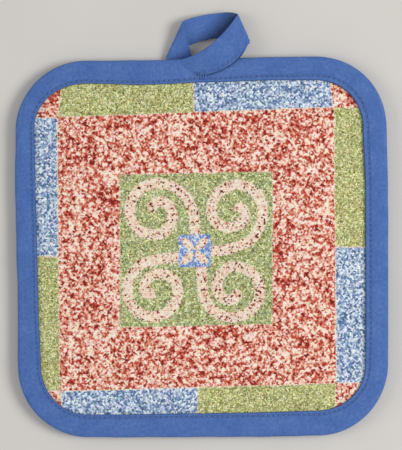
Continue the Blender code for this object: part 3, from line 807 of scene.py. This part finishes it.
def blue_tape():
    """Plain-woven cotton, piece-dyed blue and cut on the bias: matt, with fine threads that run
    slantwise to the tape. Painted shade darkens it in the stitches' groove, along its edges, round
    the bar tack and inside the loop's fold."""
    material, tree = start_material("piece_dyed_bias_cotton_tape", 0.82, 0.18, 0.4)
    uv = add(tree, "UVMap", uv_map="cloth")
    place = add(tree, "VectorMath", {"Scale": 1000}, {0: uv}, operation="SCALE")
    bias = add(tree, "VectorRotate", {"Angle": math.radians(45)}, {"Vector": place},
               rotation_type="Z_AXIS")
    # The real threads are about 0.3 mm apart and are drawn at twice that, so that they show.
    grain = woven(tree, bias, 0.62)
    slub = add(tree, "TexNoise", {"Scale": 1 / 1.5, "Detail": 2.0, "Distortion": 0.4},
               {"Vector": place})
    cloudy = add(tree, "TexNoise", {"Scale": 1 / 9.0, "Detail": 2.0}, {"Vector": place})
    level = blended(tree, (slub, 0.75), (grain, 0.2), (cloudy, 0.5))
    dyed = add(tree, "ValToRGB", links={"Fac": level}, stops=(
        (0.15, "#3D60A4"), (0.42, "#4A6CAD"), (0.60, "#5476B4"), (0.85, "#6888C1")))
    # Painted shade: this value darkens the tape in its grooves, along its edges and in the loop's
    # fold.
    pinch_and_painted_shade = add(tree, "Attribute", out="Fac", attribute_name="painted_shade")
    shade = add(tree, "MapRange", {"To Min": 1.0, "To Max": 0.34}, {"Value": pinch_and_painted_shade})
    colour = add(tree, "VectorMath", links={0: dyed, "Scale": shade}, operation="SCALE")
    return finish_material(material, colour, blended(tree, (grain, 0.7), (slub, 0.6)), 0.35, 0.0001)


# The folded edge is squarer than a half circle, as a pressed fold is.
NOSE_STEPS = 11
NOSE_SQUARENESS = 0.64
nose = []
for k in range(NOSE_STEPS + 1):
    turn = math.pi * k / NOSE_STEPS
    outward = math.sin(turn) ** NOSE_SQUARENESS
    upward = math.copysign(abs(math.cos(turn)) ** NOSE_SQUARENESS, math.cos(turn))
    soft = roughly(stations[:, 4], 0 * phases + 0.01 * k / NOSE_STEPS, *NOSE_WRINKLES)
    inset = RIM_THICKNESS / 2 * (1 - outward) + wander * outward + soft
    nose.append((rim_place(inset, RIM_MIDDLE + RIM_THICKNESS / 2 * upward), 0 * phases))
section = rim_half(1, 11.0) + nose + rim_half(-1, 14.0)[::-1]
tape_rows = np.array([row for row, pinch_and_painted_shade in section]).transpose(1, 0, 2)
tape_painted_shade = np.array([pinch_and_painted_shade for row, pinch_and_painted_shade in section]).T
tape_v = running(np.linalg.norm(np.diff(tape_rows, axis=1), axis=2).mean(0))
tape_uv = np.stack(np.meshgrid(np.append(stations[:, 4], rim_length), tape_v, indexing="ij"), -1)
blue = blue_tape()
binding = sheet_object("binding", tape_rows, blue, around=True, uv=tape_uv, painted_shade=tape_painted_shade)
thicken(binding, TAPE_CLOTH)
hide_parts("bias_binding")
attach(binding, "root")


# The hanging loop: the same tape's tail, folded lengthwise with its edges inside and stitched
# shut along its open edge. It leaves the rim at the top, bends up to the right, turns under to
# the left, folds over again and comes down, and its end is caught under the rim. It stands up a
# little, and pairs of sizes are for the tape's edge at the loop's top and for the one at its eye.

LOOP_THICKNESS = 0.0011
LOOP_SINK = 0.0003
LOOP_REACH = 0.0257
# Each stretch of the tail, to the right of the pad's middle and up from its edge: the curve of
# the tape's one edge, and then the curve of the other
STRAP_CURVES = (((-0.0150, -0.0010), (0.0036, 0.0003), (0.0191, 0.0232)),
                ((-0.0150, -0.0110), (0.0172, -0.0120), (0.0252, 0.0072)))
BACK_CURVES = (((0.0191, 0.0240), (0.0072, 0.0272), (-0.0086, 0.0211)),
               ((0.0263, 0.0100), (0.0042, 0.0162), (-0.0181, 0.0012)))
LEG_CURVES = (((-0.0098, 0.0187), (-0.0062, 0.0058), (-0.0026, -0.0108)),
              ((-0.0193, -0.0012), (-0.0175, -0.0062), (-0.0150, -0.0118)))
LOOP_TIP_HEIGHTS = (0.0076, 0.0066)
LOOP_BACK_HEIGHTS = (0.0062, 0.0018)
TIP_FOLD_RADII = (0.0007, 0.0018)
LEG_FOLD_RADII = (0.0007, 0.0007)
FOLD_SLIDE = 0.0007
# The strap's edges start to grow out of the rim at these shares of its length, and take these
STRAP_RISES_AT = (0.0, 0.20)
STRAP_RISES_OVER = (0.30, 0.15)
STRAP_STANDS_OFF = (0.0, 0.0007)
STRAP_ARCH = 0.0033
# The folded-back layer's upper edge sags this much
BACK_SAG = 0.0034
# How far the painted shade in the fold reaches from the strap's edge, and where the painted shade
# along the strap's edge fades
FOLD_SHADE_REACH = 0.011
EDGE_SHADE_FADES_AT = 0.001
EDGE_SHADE_FADES_OVER = 0.004
LOOP_THIN_RUN = 0.12
LOOP_THIN_START = 0.5
# The folded-back layer has come down by this share of its way
LAID_BY = 0.7
# The leg is down under the rim this far below its edge, and up this far above it
LEG_DOWN = 0.0024
LEG_UP = (0.0170, 0.0006)
LEG_BITE = 0.0001
STRAP_STEPS = 54
FOLDED_STEPS = 42
FOLD_STEPS = 9
POINTS_ACROSS = 13
STRAP_LIP = 0.0010
STRAP_HEM = 0.0040
STRAP_STITCH_IN = 0.0025
# The groove of the edge stitch, the painted shades in it and along the open edge, and the strap's
# ripples
STRAP_GROOVE = 0.0008
STRAP_GROOVE_WIDTH = 0.0005
STRAP_GROOVE_DEPTH = 0.00025
STRAP_GROOVE_SHADE = 0.6
STRAP_EDGE_SHADE = 0.75
STRAP_RIPPLES = (0.00010, 0.006, 21.0)
# Painted shade round the bar tack: its strength, its middle, and its half sizes across and up
TACK_SHADE = 0.6
TACK_MIDDLE = (-0.0004, 0.0934)
TACK_HALVES = (0.0046, 0.0018)
RIM_TOP = RIM_LIFT + RIM_THICKNESS


def tail_rows():
    """Rows of points across the tape's tail, midway in its thickness, along its whole way."""
    over_rim = RIM_TOP - LOOP_SINK + LOOP_THICKNESS / 2
    in_rim = RIM_TOP - LOOP_THICKNESS / 2
    under_rim = RIM_LIFT + LEG_BITE - LOOP_THICKNESS / 2
    share = np.linspace(0, 1, POINTS_ACROSS)
    rows = []

    def strap_height(up, along):
        risen = ease((along - between(STRAP_RISES_AT, share)) / between(STRAP_RISES_OVER, share))
        on_rim = in_rim + (over_rim + between(STRAP_STANDS_OFF, share) - in_rim) * risen
        on_rim += STRAP_ARCH * (1 - share) * math.sin(math.pi * along) ** 2
        return on_rim + (between(LOOP_TIP_HEIGHTS, share) - over_rim) * ease(up / LOOP_REACH)

    def back_height_at(up, along):
        start = strap_height(up, 1) - 2 * between(TIP_FOLD_RADII, share)
        sag = BACK_SAG * (1 - share) * math.sin(math.pi * along) ** 2
        return between((start, between(LOOP_BACK_HEIGHTS, share)), ease(along / LAID_BY)) - sag

    def leg_height(up, along):
        high = between(LOOP_BACK_HEIGHTS, share) + 2 * between(LEG_FOLD_RADII, share)
        risen = ease((up + LEG_DOWN) / (between(LEG_UP, share) + LEG_DOWN))
        return between((under_rim, high), risen)

    def add_stretch(curves, height, count):
        def row_at(along):
            edges = [bent(*np.array(curve), along) for curve in curves]
            right, up = between(edges, share[:, None]).T
            return np.stack([right, HALF_Y + up, height(up, along)], axis=1)

        off = rows[-1] - row_at(0) if rows else 0
        for step in range(1 if rows else 0, count + 1):
            rows.append(row_at(step / count) + off * (1 - ease(2 * step / count)))

    def add_fold(radii, rising):
        last = rows[-1]
        sideways = (last[-1] - last[0]) / np.linalg.norm(last[-1] - last[0])
        heading = (last - rows[-2])[POINTS_ACROSS // 2] * (1, 1, 0)
        outward = heading - heading @ sideways * sideways
        slide = heading @ sideways / np.linalg.norm(outward) * FOLD_SLIDE
        outward = outward * (1, 1, 0) / np.linalg.norm(outward[:2])
        radius = between(radii, share)[:, None]
        for turn in math.pi * np.arange(1, FOLD_STEPS + 1) / FOLD_STEPS:
            shift = outward * radius * math.sin(turn) + sideways * slide * turn
            rows.append(last + shift + (0, 0, rising) * radius * (1 - math.cos(turn)))

    add_stretch(STRAP_CURVES, strap_height, STRAP_STEPS)
    add_fold(TIP_FOLD_RADII, -1)
    add_stretch(BACK_CURVES, back_height_at, FOLDED_STEPS)
    add_fold(LEG_FOLD_RADII, 1)
    add_stretch(LEG_CURVES, leg_height, FOLDED_STEPS)
    return np.array(rows)


def tail_normals(rows):
    """The upper side's direction at each point of the strap, before any fold turns it over."""
    ahead = np.gradient(rows, axis=0)
    beside = np.gradient(rows, axis=1)
    normal = np.cross(beside, ahead)
    return normal / np.linalg.norm(normal, axis=2, keepdims=True)


def rounded(distance, height, radius, steps, count):
    """Points round an edge of the folded tape, at these steps of half a turn in so many."""
    return [(distance + radius * math.sin(turn), height + radius * math.cos(turn))
            for turn in (math.pi * step / count for step in steps)]


def tail_section(width):
    """The folded tape's outer surface across the strap: its distance from the folded edge, its
    height, and its painted shade in the stitch groove and along the open edge."""
    half = LOOP_THICKNESS / 2
    lip = half / 2
    open_edge = width - STRAP_LIP
    stitch = width - STRAP_STITCH_IN
    groove = np.linspace(-STRAP_GROOVE, STRAP_GROOVE, 5)
    points = [(width - STRAP_HEM, 0.0), (width - 2 * lip, 0.0)]
    points += rounded(width - lip, -lip, lip, range(1, 6), 6)
    points += [(between((width - lip, half), k / 7), -half) for k in range(8)]
    points += rounded(half, 0.0, -half, range(1, 8), 8)
    points += [(between((half, stitch - STRAP_GROOVE), k / 7), half) for k in range(7)]
    points += [(stitch + past, half) for past in groove]
    points += rounded(open_edge - lip, lip, lip, range(6), 6)
    points += [(open_edge - 2 * lip, 0.0), (open_edge - STRAP_HEM, 0.0)]
    distance, height = np.array(points).T
    pinch_and_painted_shade = np.exp(-((distance - stitch) / STRAP_GROOVE_WIDTH) ** 2) * (height > 0)
    shade = np.maximum(STRAP_GROOVE_SHADE * pinch_and_painted_shade, STRAP_EDGE_SHADE * (distance > open_edge))
    return distance, height - STRAP_GROOVE_DEPTH * pinch_and_painted_shade, shade


def on_tail(row, normal, distance, height):
    """Points this far from the folded edge and this high over the middle, at one row."""
    width = np.linalg.norm(row[-1] - row[0])
    share = np.clip(distance / width, 0, 1) * (POINTS_ACROSS - 1)
    low = np.minimum(np.floor(share).astype(int), POINTS_ACROSS - 2)
    part = np.expand_dims(share - low, -1)
    place = between((row[low], row[low + 1]), part)
    return place + between((normal[low], normal[low + 1]), part) * np.expand_dims(height, -1)


def painted_tack_shade(x, y):
    """The painted shade round the bar tack at a place."""
    across = (x - TACK_MIDDLE[0]) / TACK_HALVES[0]
    up = (y - TACK_MIDDLE[1]) / TACK_HALVES[1]
    return TACK_SHADE * np.exp(-across ** 4 - up ** 4)


middle_rows = tail_rows()
normals = tail_normals(middle_rows)
row_way = running(np.linalg.norm(np.diff(middle_rows[:, POINTS_ACROSS // 2], axis=0), axis=1))
strap_rows = []
strap_painted_shade = []
in_the_fold = []
for i, (row, normal) in enumerate(zip(middle_rows, normals)):
    distance, height, shade = tail_section(np.linalg.norm(row[-1] - row[0]))
    grown = between((LOOP_THIN_START, 1), ease(i / len(middle_rows) / LOOP_THIN_RUN))
    ripple = roughly(row_way[i], 0.0, *STRAP_RIPPLES)
    strap_rows.append(on_tail(row, normal, distance, height * grown + ripple))
    strap_painted_shade.append(shade)
    in_the_fold.append(height < 0)
strap_rows = np.array(strap_rows)
strap_v = running(np.linalg.norm(np.diff(strap_rows, axis=1), axis=2).mean(0))
strap_uv = np.stack(np.meshgrid(row_way, strap_v, indexing="ij"), axis=-1)
# The painted shade along the strap's open edge and in its stitch groove lasts as far as the strap
# lies on the rim.
past_rim = ease((strap_rows[..., 1] - HALF_Y - EDGE_SHADE_FADES_AT) / EDGE_SHADE_FADES_OVER)
strap_painted_shade = np.array(strap_painted_shade) * (1 - past_rim)
strap_painted_shade = np.maximum(strap_painted_shade, painted_tack_shade(strap_rows[..., 0], strap_rows[..., 1]))
strap_painted_shade[STRAP_STEPS:] = 0
# Painted shade darkens the layer folded back, on its side towards the strap, the nearer to the
# strap's edge.
back = slice(STRAP_STEPS + 1, STRAP_STEPS + FOLD_STEPS + FOLDED_STEPS)
strap_edge = middle_rows[:STRAP_STEPS, 0, :2]
from_strap = np.linalg.norm(strap_rows[back, :, None, :2] - strap_edge, axis=3).min(2)
strap_painted_shade[back] = (1 - ease(from_strap / FOLD_SHADE_REACH)) * np.array(in_the_fold)[back]
hanging_loop = sheet_object("hanging_loop", strap_rows, blue, uv=strap_uv, painted_shade=strap_painted_shade)
thicken(hanging_loop, TAIL_CLOTH)
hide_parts("bias_binding")
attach(hanging_loop, "root")


# The thread: three-ply cotton-wrapped sewing thread, a shade paler than the tape. It makes the
# topstitch round the rim on both sides, the edge stitch that shuts the strap, and the bar tack.

THREAD_RADIUS = 0.00019
BAR_TACK_PITCH = 0.0014
# How far a stitch sinks at its ends, for its radius, and how much of its length it is short by
STITCH_SAG = 1.1
STITCH_SHORT = 0.07
STRAP_STITCH_FROM = 0.3


def sewing_thread():
    """Spun thread: matt, with a slanting ply that breaks its edge."""
    material, tree = start_material("spun_cotton_sewing_thread", 0.7, 0.2)
    place = in_millimetres(tree)
    bias = add(tree, "VectorRotate", {"Angle": math.radians(40)}, {"Vector": place},
               rotation_type="Z_AXIS")
    ply = woven(tree, bias, 0.4)
    fuzz = add(tree, "TexNoise", {"Scale": 1 / 0.8, "Detail": 2.0}, {"Vector": place})
    level = blended(tree, (ply, 0.6), (fuzz, 0.8))
    colour = add(tree, "ValToRGB", links={"Fac": level}, stops=(
        (0.2, "#4F70B2"), (0.5, "#6C8CC8"), (0.9, "#8CA9DC")))
    return finish_material(material, colour, ply, 0.4, 0.00008)


def one_stitch():
    """A short pad of thread, a unit long, thick in the middle and going in at both ends."""
    bpy.ops.object.select_all(action="DESELECT")
    bpy.ops.mesh.primitive_cylinder_add(vertices=8, radius=1, depth=1, rotation=(0, math.pi / 2, 0))
    stitch = bpy.context.object
    bpy.ops.object.transform_apply(rotation=True)
    bpy.ops.object.mode_set(mode="EDIT")
    for cut in (0, 0.3, -0.3):
        bpy.ops.mesh.select_all(action="SELECT")
        bpy.ops.mesh.bisect(plane_co=(cut, 0, 0), plane_no=(1, 0, 0))
    bpy.ops.object.mode_set(mode="OBJECT")
    points = np.array([tuple(v.co) for v in stitch.data.vertices])
    faces = [tuple(face.vertices) for face in stitch.data.polygons]
    bpy.data.objects.remove(stitch)
    thin = 1 - 0.45 * (2 * abs(points[:, 0])) ** 3
    points[:, 1:] *= thin[:, None]
    return points, faces


STITCH_POINTS, STITCH_FACES = one_stitch()


def sewn_thread(name, runs, material):
    """Stitches from (start, end, upward) runs, each arched a little and sunk at its ends."""
    points = []
    faces = []
    sag = (2 * STITCH_POINTS[:, :1]) ** 2 * THREAD_RADIUS * STITCH_SAG
    for start, end, upward in runs:
        faces += [[len(points) + k for k in face] for face in STITCH_FACES]
        along = end - start
        side = np.cross(upward, along)
        side /= np.linalg.norm(side)
        up = np.cross(along, side)
        up /= np.linalg.norm(up)
        placed = (start + end) / 2 + STITCH_POINTS[:, :1] * along
        placed += STITCH_POINTS[:, 1:2] * THREAD_RADIUS * side
        points.extend(placed + (STITCH_POINTS[:, 2:] * THREAD_RADIUS - sag) * up)
    thing = mesh_object(name, points, faces, material)
    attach(thing, "root")
    return thing


def stitch_run(start, end, side=1):
    """One stitch between two needle holes, seen from above (1) or from below (-1)."""
    short = (end - start) * STITCH_SHORT
    return (start + short, end - short, (0, 0, side))


def topstitch(side):
    """The stitches of the row round the rim, on the upper (1) or lower (-1) side."""
    height = rim_top(gaps, 0.5) + THREAD_RADIUS * 0.6
    line = rim_place(covers - gaps, RIM_MIDDLE + side * height)[::STATIONS_PER_STITCH]
    return [stitch_run(start, end, side) for start, end in zip(line, np.roll(line, -1, axis=0))]


thread = sewing_thread()
front_topstitch = sewn_thread("front_topstitch", topstitch(1), thread)
back_topstitch = sewn_thread("back_topstitch", topstitch(-1), thread)
strap_line = []
for row, normal in zip(middle_rows[:STRAP_STEPS], normals[:STRAP_STEPS]):
    stitch = np.linalg.norm(row[-1] - row[0]) - STRAP_STITCH_IN
    strap_line.append(on_tail(row, normal, stitch, LOOP_THICKNESS / 2 - THREAD_RADIUS * 0.5))
strap_line = np.array(strap_line)
strap_way = running(np.linalg.norm(np.diff(strap_line, axis=0), axis=1))
marks = np.arange(STRAP_STITCH_FROM * strap_way[-1], strap_way[-1], STITCH_LENGTH)
marked = np.stack([np.interp(marks, strap_way, strap_line[:, k]) for k in range(3)], axis=1)
strap_stitch = sewn_thread("strap_stitch", [stitch_run(*ends) for ends in zip(marked, marked[1:])],
                           thread)
strap_top = (middle_rows + normals * LOOP_THICKNESS / 2)[:STRAP_STEPS].reshape(-1, 3)


def strap_height_at(x, y):
    """The height of the strap's upper side, or of the rim's where the strap isn't over it."""
    nearest = np.argmin(np.hypot(strap_top[:, 0] - x, strap_top[:, 1] - y))
    return max(strap_top[nearest, 2], RIM_TOP) + THREAD_RADIUS * 0.5


tack_runs = []
tack_low, tack_high = TACK_MIDDLE[1] - TACK_HALVES[1], TACK_MIDDLE[1] + TACK_HALVES[1]
for k in range(int(2 * TACK_HALVES[0] / BAR_TACK_PITCH)):
    x = TACK_MIDDLE[0] - TACK_HALVES[0] + k * BAR_TACK_PITCH
    low = np.array((x, tack_low, strap_height_at(x, tack_low)))
    high = np.array((x + BAR_TACK_PITCH / 2, tack_high, strap_height_at(x, tack_high)))
    tack_runs.append((low, high, (0, 0, 1)))
bar_tack = sewn_thread("bar_tack", tack_runs, thread)


# The table: a plain pale board. The light is a strong soft box on the right, a weak one on the
# left and an even room. The camera looks straight down from far off, as in the photo.

MM_PER_PIXEL = 0.5465
PHOTO_HEIGHT = 450
PHOTO_CENTRE = (-0.00027, 0.0123)
CAMERA_HEIGHT = 1.15
SENSOR_MM = 36
# Each lamp: its name, place, size and watts
LAMPS = (("right_box", (1.38, 0.02, 1.30), 0.95, 22.0),
         ("left_box", (-1.50, 0.05, 1.00), 1.10, 7.5))
ROOM_LIGHT = 0.44


def pale_board():
    """Matt painted board: a light warm grey that is very slightly uneven."""
    material, tree = start_material("matt_painted_board", 0.95, 0.0)
    cloudy = add(tree, "TexNoise", {"Scale": 1 / 60, "Detail": 3.0},
                 {"Vector": in_millimetres(tree)})
    colour = add(tree, "ValToRGB", links={"Fac": cloudy}, stops=(
        (0.3, "#D3D0CB"), (0.7, "#D7D4CF")))
    return finish_material(material, colour)


bpy.ops.object.select_all(action="DESELECT")
bpy.ops.mesh.primitive_plane_add(size=4.0, location=(0, 0, 0))
table = bpy.context.object
table.name = "table_top"
table.data.materials.append(pale_board())

for name, place, size, watts in LAMPS:
    bpy.ops.object.light_add(type="AREA", location=place)
    lamp = bpy.context.object
    lamp.name = name
    lamp.data.shape = "DISK"
    lamp.data.size = size
    lamp.data.energy = watts
    lamp.rotation_euler = Vector(place).to_track_quat("Z", "Y").to_euler()

world = bpy.data.worlds.new("even_room")
bpy.context.scene.world = world
world.use_nodes = True
background = world.node_tree.nodes["Background"]
background.inputs["Color"].default_value = (1.0, 0.99, 0.98, 1)
background.inputs["Strength"].default_value = ROOM_LIGHT

camera_data = bpy.data.cameras.new("overhead")
camera = bpy.data.objects.new("overhead", camera_data)
bpy.context.scene.collection.objects.link(camera)
camera_data.sensor_width = SENSOR_MM
camera_data.lens = SENSOR_MM * CAMERA_HEIGHT / (PHOTO_HEIGHT * MM_PER_PIXEL / 1000)
camera.location = (*PHOTO_CENTRE, CAMERA_HEIGHT + RIM_TOP)
bpy.context.scene.camera = camera
bpy.context.scene.view_settings.view_transform = "Standard"
